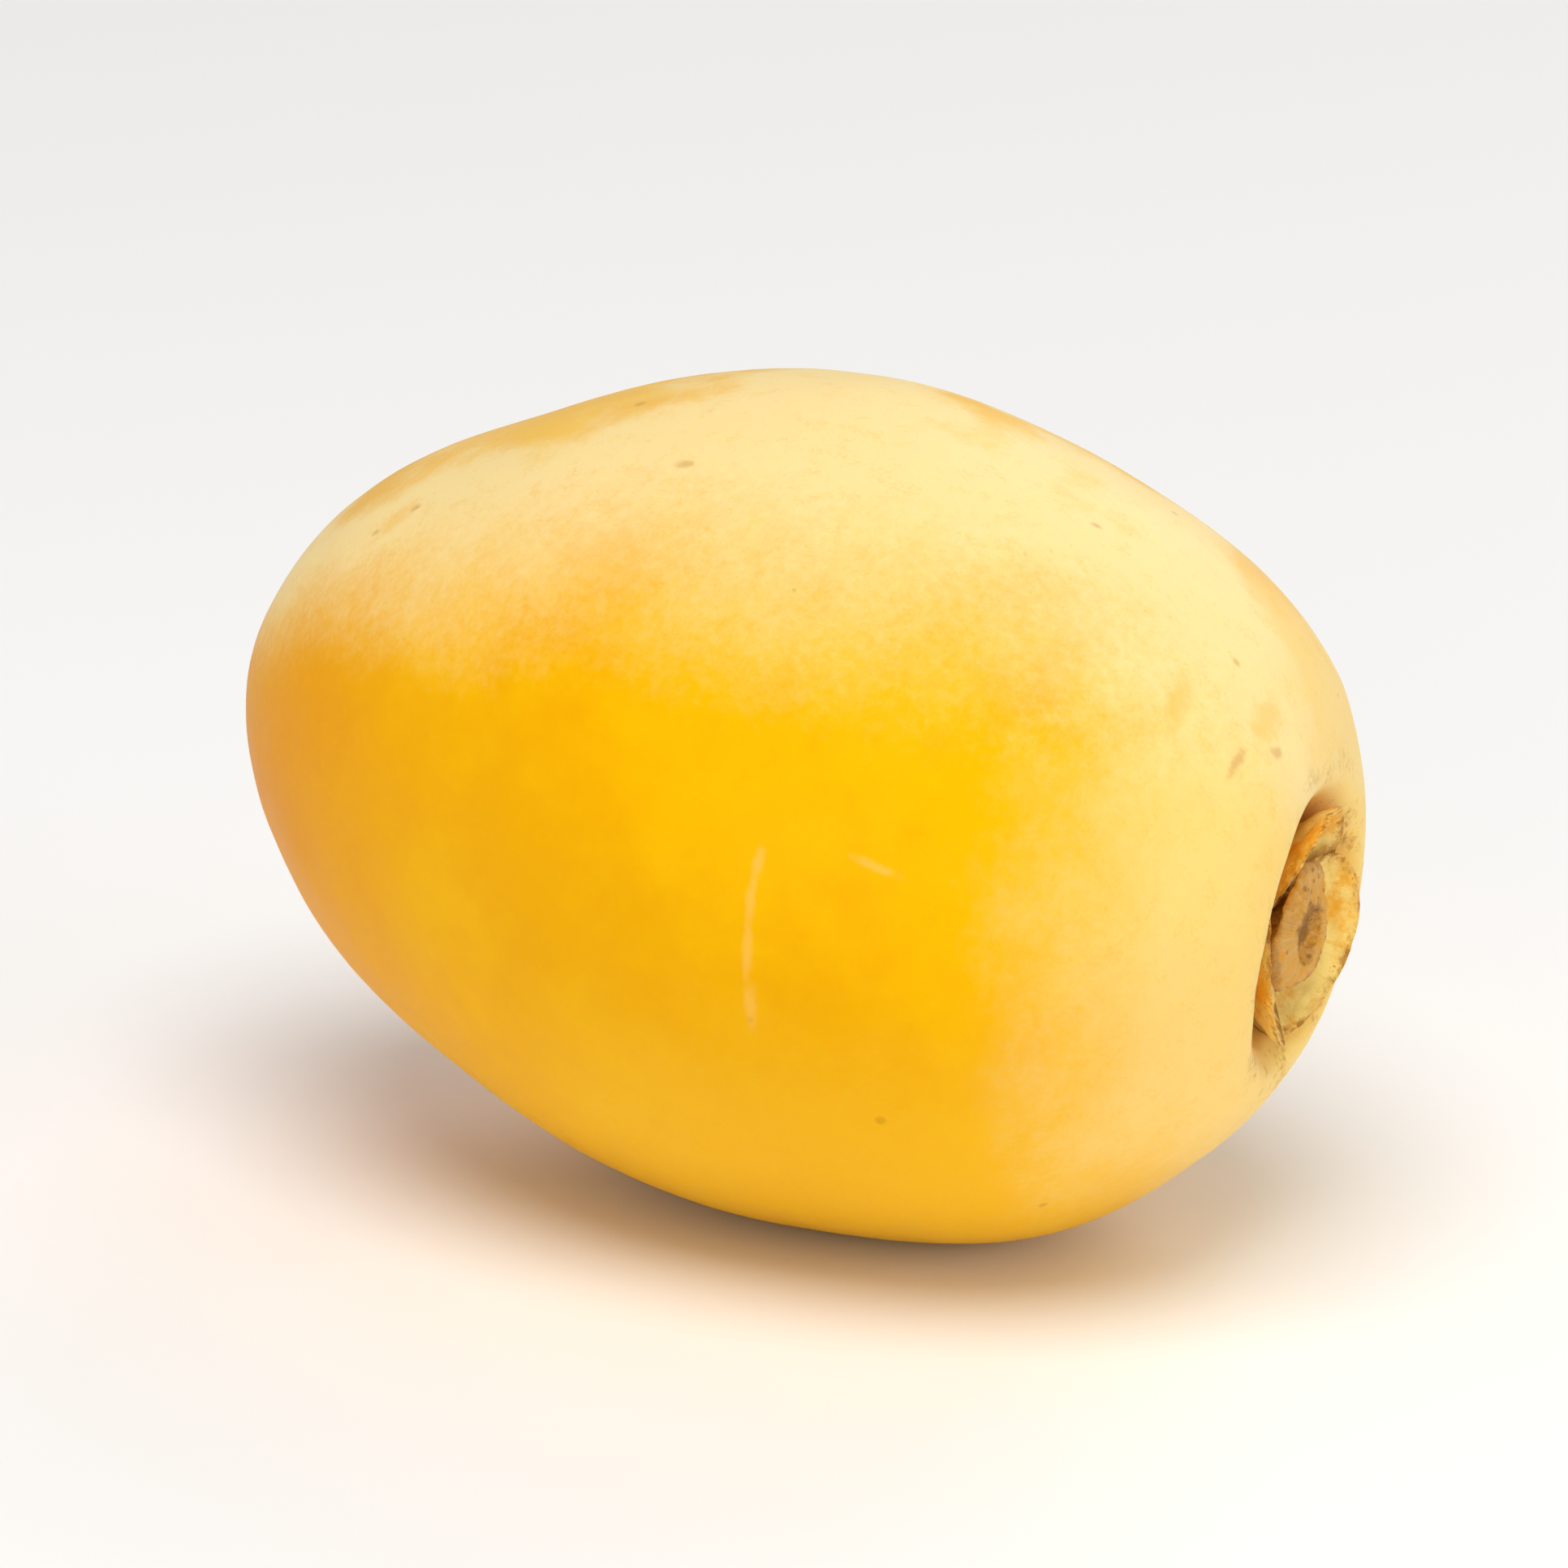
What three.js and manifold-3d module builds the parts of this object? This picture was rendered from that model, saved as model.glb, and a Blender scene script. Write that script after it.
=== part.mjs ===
import * as THREE from 'three';
import { mergeVertices } from 'three/addons/utils/BufferGeometryUtils.js';
import Module from 'manifold-3d';

// A fresh yellow date, picked and lying on its side. Sizes are in millimetres and angles in degrees.
// Each piece is built along the fruit's own X axis, with the apex at -X and the calyx at +X.
// The whole fruit is then tipped and lowered until it rests on the ground, the plane Z = 0.

// Fruit
const fruitLength = 36.5;
const fruitWidth = 27.2;
const heightOverWidth = 0.968;
const apexTaper = 1.13;
const calyxTaper = 0.89;
const fatEndBias = 0.125;
const bellySag = 0.25;
const fruitSides = 56;
const fruitStations = 36;

// Nub that the style leaves at the apex
const nubRadius = 0.5;
const nubHeight = 0.45;
const nubStations = 3;

// Socket that the calyx sits in
const socketDepth = 2.2;
const socketFloorRadius = 2.6;
const socketRimRadius = 4.9;
const socketStations = 9;

// Shoulder that stands out further on one side of the socket
const shoulderRise = 1.3;
const shoulderRadius = 5.8;
const shoulderReach = 2.6;
const shoulderSide = 165;

// The calyx sits a little to one side of the middle of the fruit's end
const calyxShift = 1.5;
const calyxShiftSide = -50;
const calyxShiftReach = 6.5;

// Full places (rise above 0) and flat places (rise below 0) of the skin.
// "along" runs from -1 at the apex to 1 at the calyx, "side" turns from +Y towards +Z.
const swellings = [
  { along: -0.84, side: 80, rise: 0.45, reach: 0.16, spread: 60 },
  { along: -0.55, side: 80, rise: -0.35, reach: 0.16, spread: 50 },
  { along: -0.08, side: 76, rise: 0.25, reach: 0.25, spread: 50 },
  { along: 0.5, side: 72, rise: -0.35, reach: 0.22, spread: 50 },
  { along: 0.9, side: 62, rise: 0.6, reach: 0.16, spread: 60 },
  { along: 0.68, side: -100, rise: 0.7, reach: 0.22, spread: 60 },
  { along: -0.4, side: -104, rise: -0.25, reach: 0.22, spread: 50 },
  { along: -0.82, side: -110, rise: 0.3, reach: 0.2, spread: 50 },
  { along: 0.1, side: 0, rise: 0.15, reach: 0.4, spread: 40 },
];

// Three petals, each with one edge over its neighbour. A petal climbs over the middle part of its
// span, "petalClimb" of the half span to each side.
const petalCount = 3;
const petalInnerRadius = 1.2;
const petalOuterRadius = 4.1;
const petalThickness = 0.4;
const petalSpan = 152;
const petalCornerFullness = 0.25;
const petalClimb = 0.6;
const petalTurn = 200;
const petalSides = 26;
const petalRings = 10;

// Cup of three joined sepals, with the round scar of the strand in its middle
const cupRadius = 2.1;
const cupEdgeThickness = 0.25;
const cupThickness = 0.45;
const cupLobeDepth = 0.14;
const cupSides = 36;
const scarRadius = 0.85;
const scarRimWidth = 0.3;
const scarDepth = 0.45;
const scarDome = 0.12;

// Fit and rest
const fitGap = 0.18;
const restTilt = 3;
const restSpotDepth = 0.36;
const slabSize = 100;

// Steps that narrow a search for an angle down
const radiusHalvings = 40;

const wasm = await Module();
wasm.setup();

const { degToRad, lerp, smoothstep } = THREE.MathUtils;

// Half the width of the bare egg shape, at an angle from the apex (0) to the calyx (PI).
function bareRadius(angle) {
  const towardsCalyx = (1 - Math.cos(angle)) / 2;
  const taper = lerp(apexTaper, calyxTaper, towardsCalyx);
  const fattening = 1 - fatEndBias * Math.cos(angle);
  return (fruitWidth / 2) * Math.sin(angle) ** taper * fattening;
}

function bareX(angle) {
  return (-fruitLength / 2) * Math.cos(angle);
}

// Angle at which the bare shape has a radius, found by halving between two angles.
function angleAtRadius(radius, narrowAngle, wideAngle) {
  let narrow = narrowAngle;
  let wide = wideAngle;
  for (let halving = 0; halving < radiusHalvings; halving++) {
    const middle = (narrow + wide) / 2;
    if (bareRadius(middle) > radius) {
      wide = middle;
    } else {
      narrow = middle;
    }
  }
  return narrow;
}

// X of the skin at the calyx end, at a distance from the axis, with the socket pressed in.
function calyxEndX(radius) {
  const angle = angleAtRadius(radius, Math.PI, Math.PI / 2);
  const pressed = 1 - smoothstep(radius, socketFloorRadius, socketRimRadius);
  return bareX(angle) - socketDepth * pressed;
}

// Outline of the fruit as half of its long section: x is the radius, y runs from apex to calyx.
function fruitOutline() {
  const outline = [];
  const apexAngle = angleAtRadius(nubRadius, 0, Math.PI / 2);
  for (let i = 0; i < nubStations; i++) {
    const angle = (Math.PI / 2) * (i / nubStations);
    const x = bareX(apexAngle) - nubHeight * Math.cos(angle);
    outline.push(new THREE.Vector2(nubRadius * Math.sin(angle), x));
  }
  const rimAngle = angleAtRadius(socketRimRadius, Math.PI, Math.PI / 2);
  for (let i = 0; i < fruitStations; i++) {
    const angle = lerp(apexAngle, rimAngle, i / fruitStations);
    outline.push(new THREE.Vector2(bareRadius(angle), bareX(angle)));
  }
  for (let i = 0; i <= socketStations; i++) {
    const radius = socketRimRadius * (1 - i / socketStations);
    outline.push(new THREE.Vector2(radius, calyxEndX(radius)));
  }
  return outline;
}

// Leaves positions only, shares the corners that coincide and drops triangles with no area.
function shareCorners(geometry) {
  geometry.deleteAttribute('normal');
  geometry.deleteAttribute('uv');
  const shared = mergeVertices(geometry);
  const corners = shared.index.array;
  const kept = [];
  for (let i = 0; i < corners.length; i += 3) {
    const [a, b, c] = corners.subarray(i, i + 3);
    if (a !== b && b !== c && c !== a) {
      kept.push(a, b, c);
    }
  }
  shared.setIndex(kept);
  return shared;
}

// Moves every corner of a geometry by a function that changes a Vector3 in place.
function reshape(geometry, move) {
  const corners = geometry.getAttribute('position');
  const point = new THREE.Vector3();
  for (let i = 0; i < corners.count; i++) {
    move(point.fromBufferAttribute(corners, i));
    corners.setXYZ(i, point.x, point.y, point.z);
  }
}

// Rise of the skin at a place, the sum of all swellings.
function swellAt(along, around) {
  let rise = 0;
  for (const swelling of swellings) {
    const turn = around - degToRad(swelling.side);
    const sideways = Math.atan2(Math.sin(turn), Math.cos(turn)) / degToRad(swelling.spread);
    const lengthways = (along - swelling.along) / swelling.reach;
    rise += swelling.rise * Math.exp(-(sideways ** 2) - lengthways ** 2);
  }
  return rise;
}

// How far the calyx end stands out along the axis at a place, most on the side of the full shoulder.
function shoulderAt(radius, around) {
  const facing = ((1 + Math.cos(around - degToRad(shoulderSide))) / 2) ** 2;
  return shoulderRise * facing * Math.exp(-(((radius - shoulderRadius) / shoulderReach) ** 2));
}

// Growth that every piece follows: swellings, the full shoulder, the calyx off the middle, a section
// wider than it is high, and a sagging belly.
function grow(point) {
  const along = (2 * point.x) / fruitLength;
  const around = Math.atan2(point.z, point.y);
  const fuller = 1 + swellAt(along, around) / (fruitWidth / 2);
  if (along > 0) {
    const radius = Math.hypot(point.y, point.z);
    const shift = calyxShift * along ** 2 * Math.exp(-((radius / calyxShiftReach) ** 2));
    point.x += along ** 2 * shoulderAt(radius, around);
    point.y += shift * Math.cos(degToRad(calyxShiftSide));
    point.z += shift * Math.sin(degToRad(calyxShiftSide));
  }
  point.y *= fuller;
  point.z *= fuller * heightOverWidth;
  point.z -= bellySag * (1 - along ** 2);
}

function makeFruit() {
  const geometry = new THREE.LatheGeometry(fruitOutline(), fruitSides);
  geometry.rotateZ(-Math.PI / 2);
  const fruit = shareCorners(geometry);
  reshape(fruit, grow);
  return fruit;
}

// A petal starts as a unit ball: x becomes its reach from the axis, y its span and z its thickness.
function makePetal(turn) {
  const petal = shareCorners(new THREE.SphereGeometry(1, petalSides, petalRings));
  const halfReach = (petalOuterRadius - petalInnerRadius) / 2;
  const middleRadius = (petalOuterRadius + petalInnerRadius) / 2;
  const liftOverNeighbour = petalThickness + fitGap;
  reshape(petal, (point) => {
    const out = point.x * (1 + petalCornerFullness * point.y ** 2 * (1 - point.x ** 2));
    const across = point.y * (1 + petalCornerFullness * point.x ** 2 * (1 - point.y ** 2));
    const radius = middleRadius + halfReach * out;
    const angle = turn + degToRad(petalSpan / 2) * across;
    const lift = liftOverNeighbour * smoothstep(across, -petalClimb, petalClimb);
    const height = fitGap + lift + (petalThickness * (1 + point.z)) / 2;
    point.set(calyxEndX(radius) + height, radius * Math.cos(angle), radius * Math.sin(angle));
  });
  reshape(petal, grow);
  return petal;
}

// The cup stands on the socket floor by a stub between the petals and spreads over their inner ends.
function makeSepalCup() {
  const stackHeight = fitGap + (petalThickness + fitGap) * 2;
  const stubRadius = petalInnerRadius - fitGap;
  const stubFoot = calyxEndX(0) + fitGap;
  const edgeX = calyxEndX(cupRadius) + stackHeight;
  const topX = calyxEndX(0) + stackHeight + cupThickness;
  const outline = [
    new THREE.Vector2(0, stubFoot),
    new THREE.Vector2(stubRadius, stubFoot),
    new THREE.Vector2(stubRadius, calyxEndX(stubRadius) + stackHeight),
    new THREE.Vector2(cupRadius, edgeX),
    new THREE.Vector2(cupRadius, edgeX + cupEdgeThickness),
    new THREE.Vector2(scarRadius + scarRimWidth, topX),
    new THREE.Vector2(scarRadius, topX),
    new THREE.Vector2(scarRadius, topX - scarDepth),
    new THREE.Vector2(0, topX - scarDepth + scarDome),
  ];
  const geometry = new THREE.LatheGeometry(outline, cupSides);
  geometry.rotateZ(-Math.PI / 2);
  const cup = shareCorners(geometry);
  reshape(cup, (point) => {
    const radius = Math.hypot(point.y, point.z);
    const inLobe = smoothstep(radius, scarRadius + scarRimWidth, cupRadius);
    const lobe = cupLobeDepth * Math.cos(petalCount * (Math.atan2(point.z, point.y) - degToRad(petalTurn)));
    point.y *= 1 + lobe * inLobe;
    point.z *= 1 + lobe * inLobe;
  });
  reshape(cup, grow);
  return cup;
}

function toSolid(geometry) {
  const vertProperties = new Float32Array(geometry.getAttribute('position').array);
  const triVerts = new Uint32Array(geometry.index.array);
  return new wasm.Manifold(new wasm.Mesh({ numProp: 3, vertProperties, triVerts }));
}

function toGeometry(solid) {
  const mesh = solid.getMesh();
  const geometry = new THREE.BufferGeometry();
  geometry.setAttribute('position', new THREE.BufferAttribute(new Float32Array(mesh.vertProperties), 3));
  geometry.setIndex(new THREE.BufferAttribute(new Uint32Array(mesh.triVerts), 1));
  return geometry;
}

// Tips the apex up, then lowers the fruit so that its lowest point would lie below the ground,
// by the depth of the rest spot, straight under the origin.
function layDown(fruit) {
  const lying = new THREE.Group();
  lying.rotation.y = degToRad(restTilt);
  const corners = fruit.getAttribute('position');
  const point = new THREE.Vector3();
  const lowest = new THREE.Vector3(0, 0, Infinity);
  for (let i = 0; i < corners.count; i++) {
    point.fromBufferAttribute(corners, i).applyEuler(lying.rotation);
    if (point.z < lowest.z) {
      lowest.copy(point);
    }
  }
  lying.position.set(-lowest.x, -lowest.y, -lowest.z - restSpotDepth);
  lying.updateMatrixWorld(true);
  return lying;
}

// Presses the rest spot flat by taking away what would lie below the ground.
function flattenRestSpot(fruit, lying) {
  const ground = new THREE.BoxGeometry(slabSize, slabSize, slabSize);
  ground.translate(0, 0, -slabSize / 2);
  ground.applyMatrix4(lying.matrixWorld.clone().invert());
  const pressed = toSolid(fruit).subtract(toSolid(shareCorners(ground)));
  return toGeometry(pressed);
}

function addPiece(parent, name, geometry, material) {
  geometry.computeVertexNormals();
  const mesh = new THREE.Mesh(geometry, material);
  mesh.name = name;
  parent.add(mesh);
}

const skin = new THREE.MeshStandardMaterial({ color: 0xf6bc1c, roughness: 0.38, metalness: 0 });
const petalSkin = new THREE.MeshStandardMaterial({ color: 0xf2b440, roughness: 0.55, metalness: 0 });
const sepalSkin = new THREE.MeshStandardMaterial({ color: 0xc98a3a, roughness: 0.7, metalness: 0 });

const fruit = makeFruit();
const lying = layDown(fruit);
addPiece(lying, 'fruit', flattenRestSpot(fruit, lying), skin);
for (let i = 0; i < petalCount; i++) {
  const turn = degToRad(petalTurn + (i * 360) / petalCount);
  addPiece(lying, `petal_${i + 1}`, makePetal(turn), petalSkin);
}
addPiece(lying, 'sepal_cup', makeSepalCup(), sepalSkin);

const group = new THREE.Group();
group.add(lying);

export default group;
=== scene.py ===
"""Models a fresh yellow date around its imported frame: skin, petals, sepal cup and a plain studio."""

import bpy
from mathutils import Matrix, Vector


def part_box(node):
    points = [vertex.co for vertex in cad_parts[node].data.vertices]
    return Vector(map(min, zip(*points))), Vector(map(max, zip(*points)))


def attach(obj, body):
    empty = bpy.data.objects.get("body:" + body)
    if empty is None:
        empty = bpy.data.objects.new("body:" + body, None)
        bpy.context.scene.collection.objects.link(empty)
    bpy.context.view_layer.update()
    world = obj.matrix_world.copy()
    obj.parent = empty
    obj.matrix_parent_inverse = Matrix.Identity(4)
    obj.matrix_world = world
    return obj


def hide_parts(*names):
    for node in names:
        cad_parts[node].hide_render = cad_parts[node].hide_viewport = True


bl_info = {
    "name": "Fresh date",
    "version": (1, 0, 0),
    "blender": (4, 5, 0),
    "location": "3D View > Sidebar > Date",
    "description": "Models a fresh yellow date, its calyx and a plain studio",
    "category": "Add Mesh",
}

from math import cos, radians, sin

import bpy
from bpy.props import FloatProperty, FloatVectorProperty, IntProperty, PointerProperty
from mathutils import Euler, Vector
from mathutils.kdtree import KDTree

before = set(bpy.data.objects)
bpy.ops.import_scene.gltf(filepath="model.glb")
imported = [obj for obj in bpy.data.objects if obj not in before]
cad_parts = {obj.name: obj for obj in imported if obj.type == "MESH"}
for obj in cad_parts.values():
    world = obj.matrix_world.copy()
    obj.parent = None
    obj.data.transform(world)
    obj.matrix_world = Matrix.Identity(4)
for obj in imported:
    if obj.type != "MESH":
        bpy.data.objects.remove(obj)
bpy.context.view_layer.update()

BODY = "root"
MM = 0.001
PER_MM = 1 / MM

# How the fruit lies: its long axis runs from the apex to the calyx and dips by the rest tilt.
REST_TILT = radians(3)
LOW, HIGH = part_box("fruit")
CENTRE = (LOW + HIGH) / 2
FRUIT_SIZE = HIGH - LOW
AXIS = Vector((cos(REST_TILT), 0, -sin(REST_TILT)))
UPRIGHT = Vector((sin(REST_TILT), 0, cos(REST_TILT)))
SIDEWAYS = Vector((0, 1, 0))
PETALS = ("petal_1", "petal_2", "petal_3")
CUP_LOW, CUP_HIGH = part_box("sepal_cup")


def on_fruit_axes(spot):
    """A place in millimetres along the fruit's own axes, from its middle."""
    offset = (spot - CENTRE) * PER_MM
    return Vector((offset.dot(AXIS), offset.dot(SIDEWAYS), offset.dot(UPRIGHT)))


CALYX_MIDDLE = on_fruit_axes((CUP_LOW + CUP_HIGH) / 2)

# Edges of the pale top, partly the waxy skin's own colour and partly painted sheen of the light from above
# and in front, as turns about the fruit's axis from level at the front (-Y) up to the top
BLOOM_SHEEN_FRONT = (radians(26), radians(66))
BLOOM_SHEEN_TOP = (radians(74), radians(108))
BLOOM_SHEEN_BACK = (radians(165), radians(125))
# Share of the pale top, skin colour and painted sheen alike, that is left beyond the top
BLOOM_SHEEN_REST = 0.3
# Turn, in radians for each millimetre along the fruit, by which the pale top reaches lower at the apex
BLOOM_SHEEN_SLOPE = 0.013

# Marks on the skin (golden stains, brown scars and pale scratches): kind, place along the fruit (-1 at
# the apex, 1 at the calyx), side in degrees (turning from +Y towards up), length and width in
# millimetres, and lean in degrees off the long axis.
MARKS = (
    ("stain", -0.63, 125, 2.2, 1.1, 50),
    ("stain", 0.90, 108, 1.1, 2.6, 15),
    ("stain", 0.80, 122, 0.8, 2.4, 10),
    ("scar", -0.60, 123, 0.5, 0.35, 50),
    ("scar", -0.66, 128, 0.4, 0.3, 50),
    ("scar", -0.10, 116, 0.7, 0.5, 0),
    ("scar", 0.55, 98, 0.4, 0.3, 0),
    ("scar", 0.83, 103, 0.35, 0.3, 0),
    ("scar", 0.90, 125, 0.3, 1.3, 0),
    ("scar", 0.93, 112, 0.3, 0.6, 0),
    ("scar", -0.35, 60, 0.5, 0.4, 20),
    ("scar", 0.30, 20, 0.8, 0.35, 60),
    ("scar", 0.10, -40, 0.4, 0.4, 0),
    ("scar", -0.55, 10, 0.6, 0.3, 30),
    ("scratch", 0.285, 170, 0.40, 1.2, -4),
    ("scratch", 0.283, 175, 0.36, 2.4, 0),
    ("scratch", 0.288, -178, 0.38, 2.4, 2),
    ("scratch", 0.298, -171, 0.50, 1.8, 5),
    ("scratch", 0.47, 167, 1.7, 0.34, -12),
    ("scratch", -0.05, 40, 0.3, 1.8, 20),
)


def linear(code):
    """The linear colour of a six-figure web colour."""
    parts = [int(code[i : i + 2], 16) / 255 for i in (0, 2, 4)]
    return [p / 12.92 if p <= 0.04045 else ((p + 0.055) / 1.055) ** 2.4 for p in parts]


def colour(name, code, description):
    return FloatVectorProperty(
        name=name, description=description, default=linear(code), size=3, subtype="COLOR", min=0, max=1
    )


def length(name, millimetres, description):
    return FloatProperty(name=name, description=description, default=millimetres * MM, unit="LENGTH")


def angle(name, degrees, description):
    return FloatProperty(name=name, description=description, default=radians(degrees), subtype="ANGLE")


def share(name, value, description):
    return FloatProperty(name=name, description=description, default=value, min=0, max=1, subtype="FACTOR")


# ---------------------------------------------------------------- settings


class DateSkinSettings(bpy.types.PropertyGroup):
    sides: IntProperty(name="Sides", description="Faces round the fruit before it is subdivided", default=56)
    rings: IntProperty(name="Rings", description="Faces from apex to calyx before subdividing", default=84)
    levels: IntProperty(name="Levels", description="Times that the skin is subdivided", default=2)
    swell: length("Swell", 0.16, "Depth of the broad unevenness of the skin")
    ripple: length("Ripple", 0.03, "Depth of the small ripples of the skin")
    golden: colour("Golden", "F0AE00", "Skin in the middle of the sides")
    yellow: colour("Yellow", "F6BA00", "Sunny patches of the skin")
    orange: colour("Orange", "E99200", "Riper skin towards the apex")
    # Pale: partly the waxy skin's own paler colour, partly painted sheen of the light falling on the top
    pale: colour("Pale", "FADF9E", "Skin under the waxy bloom, on top")
    # Peach: paler skin round the calyx, partly painted sheen
    peach_sheen: colour("Peach", "F9D582", "Paler skin on the shoulder round the calyx")
    honey: colour("Honey", "F5BD1E", "Mottled skin of the belly")
    blister: colour("Blister", "FFCF80", "Thin healed scratches")
    rust: colour("Rust", "D97E12", "Warm patch round the apex")
    brown: colour("Brown", "A5661C", "Scars, dots and the tip of the apex")
    roughness: share("Roughness", 0.46, "Roughness of the waxy skin")
    gloss: share("Gloss", 0.15, "Strength of the skin's reflections, 0.5 being that of plain plastic")
    gleam: colour("Gleam", "FFC850", "Colour that the waxy skin gives its reflections")
    wax: share("Wax", 0.03, "Strength of the glossy wax over the skin")
    glow: share("Glow", 0.35, "How much of the light spreads under the skin")


class DateCalyxSettings(bpy.types.PropertyGroup):
    levels: IntProperty(name="Levels", description="Times that petals and cup are subdivided", default=3)
    wrinkle: length("Wrinkle", 0.16, "Depth of the wrinkles of the petals")
    fray: length("Fray", 0.22, "How far the petals' edges are worn away in places")
    margin: length("Margin", 0.4, "Width of the dry brown margin of a petal")
    tear: length("Tear", 0.4, "How ragged the edge of the sepal cup is")
    cork: length("Cork", 0.22, "Depth of the roughness of the sepal cup")
    petal_light: colour("Petal light", "FFDC80", "Fleshy middle of a petal")
    petal_deep: colour("Petal deep", "F5AC2E", "Deeper orange of a petal")
    petal_dry: colour("Petal dry", "98591A", "Dry margin of a petal")
    cup_tan: colour("Cup tan", "ECB45E", "Corky sepal cup")
    cup_pale: colour("Cup pale", "F2CD8C", "Fibres in the cork")
    cup_brown: colour("Cup brown", "9C642C", "Scar where the strand broke away")


class DateStageSettings(bpy.types.PropertyGroup):
    azimuth: angle("Azimuth", 25, "Turn of the camera")
    elevation: angle("Elevation", 18, "Height angle of the camera")
    roll: angle("Roll", 2.9, "Lean of the camera")
    distance: length("Distance", 430, "From the camera to the middle of the fruit")
    view_width: length("View width", 49, "Width that the camera takes in at the fruit")
    floor: colour("Floor", "FBFAF8", "Plain pale floor")
    floor_size: length("Floor size", 6000, "Side of the floor")
    surround: share("Surround", 0.35, "Light that the pale surroundings give")
    backdrop: share("Backdrop", 0.96, "How bright the surroundings look")


# ---------------------------------------------------------------- modelling helpers


def select_only(piece):
    """Leaves one object selected and active."""
    if bpy.context.object and bpy.context.object.mode != "OBJECT":
        bpy.ops.object.mode_set(mode="OBJECT")
    bpy.ops.object.select_all(action="DESELECT")
    piece.select_set(True)
    bpy.context.view_layer.objects.active = piece


def settle(piece):
    """Puts a piece's place, turn and size into its mesh."""
    select_only(piece)
    bpy.ops.object.transform_apply(location=True, rotation=True, scale=True)


def finish_modifier(piece, kind, **values):
    """Adds a modifier with these values and applies it."""
    select_only(piece)
    modifier = piece.modifiers.new(kind.title(), kind)
    for name, value in values.items():
        setattr(modifier, name, value)
    bpy.ops.object.modifier_apply(modifier=modifier.name)


def clouds(name, size, depth=2):
    """A soft noise for the Displace modifier, with features of about this size."""
    texture = bpy.data.textures.new(name, "CLOUDS")
    texture.noise_scale = size
    texture.noise_depth = depth
    return texture


def select_where(piece, kind, test):
    """In edit mode, selects just the vertices or faces whose place passes a test."""
    bpy.ops.mesh.select_mode(type=kind)
    bpy.ops.mesh.select_all(action="DESELECT")
    bpy.ops.object.mode_set(mode="OBJECT")
    mesh = piece.data
    if kind == "VERT":
        for vertex in mesh.vertices:
            vertex.select = test(vertex.co)
    else:
        for face in mesh.polygons:
            face.select = test(face.center)
    bpy.ops.object.mode_set(mode="EDIT")


def place_on_fruit(along, side):
    """A point outside the fruit, straight out from its long axis, and the direction back to the axis."""
    turn = radians(side)
    outward = SIDEWAYS * cos(turn) + UPRIGHT * sin(turn)
    foot = CENTRE + AXIS * (along * FRUIT_SIZE.x / 2)
    return foot + outward * FRUIT_SIZE.y, -outward


# ---------------------------------------------------------------- shader helpers


class Shader:
    """A short way to add nodes to a node tree and to wire them."""

    def __init__(self, tree):
        self.tree = tree

    def add(self, kind, values=None, **settings):
        node = self.tree.nodes.new(kind)
        for name, value in settings.items():
            setattr(node, name, value)
        for name, value in (values or {}).items():
            self.feed(value, node.inputs[name])
        return node

    def feed(self, value, socket):
        if isinstance(value, bpy.types.NodeSocket):
            self.tree.links.new(value, socket)
        elif socket.type == "RGBA":
            socket.default_value = (*value[:3], 1)
        else:
            socket.default_value = value

    def math(self, operation, first, second=0.0, third=0.0, clamp=False):
        node = self.add("ShaderNodeMath", operation=operation, use_clamp=clamp)
        for socket, value in zip(node.inputs, (first, second, third)):
            self.feed(value, socket)
        return node.outputs[0]

    def vector_math(self, operation, values, output="Vector"):
        """One step of arithmetic with vectors."""
        return self.add("ShaderNodeVectorMath", values, operation=operation).outputs[output]

    def ramp(self, value, low, high, start=0.0, end=1.0):
        """A smooth step of a value between two limits."""
        values = {"Value": value, "From Min": low, "From Max": high, "To Min": start, "To Max": end}
        return self.add("ShaderNodeMapRange", values, interpolation_type="SMOOTHSTEP").outputs["Result"]

    def mix(self, amount, first, second, blend="MIX"):
        """Two colours mixed by an amount."""
        node = self.add("ShaderNodeMix", data_type="RGBA", blend_type=blend)
        self.feed(amount, node.inputs["Factor"])
        self.feed(first, node.inputs[6])
        self.feed(second, node.inputs[7])
        return node.outputs[2]

    def noise(self, vector, scale, detail=2.0, roughness=0.5, distortion=0.0):
        values = {
            "Vector": vector,
            "Scale": scale,
            "Detail": detail,
            "Roughness": roughness,
            "Distortion": distortion,
        }
        return self.add("ShaderNodeTexNoise", values).outputs["Fac"]


def place(shader, tree, values):
    """Places a node group with its own values and gives its first output."""
    node = shader.add("ShaderNodeGroup", node_tree=tree)
    for name, value in values.items():
        shader.feed(value, node.inputs[name])
    return node.outputs[0]


def new_group(name, inputs, output):
    """An empty shader group with named inputs and one output."""
    tree = bpy.data.node_groups.new(name, "ShaderNodeTree")
    for label, kind, default in inputs:
        socket = tree.interface.new_socket(name=label, in_out="INPUT", socket_type=kind)
        if default is not None:
            socket.default_value = default
    tree.interface.new_socket(name=output, in_out="OUTPUT", socket_type="NodeSocketFloat")
    shader = Shader(tree)
    return tree, shader, shader.add("NodeGroupInput").outputs, shader.add("NodeGroupOutput").inputs


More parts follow.
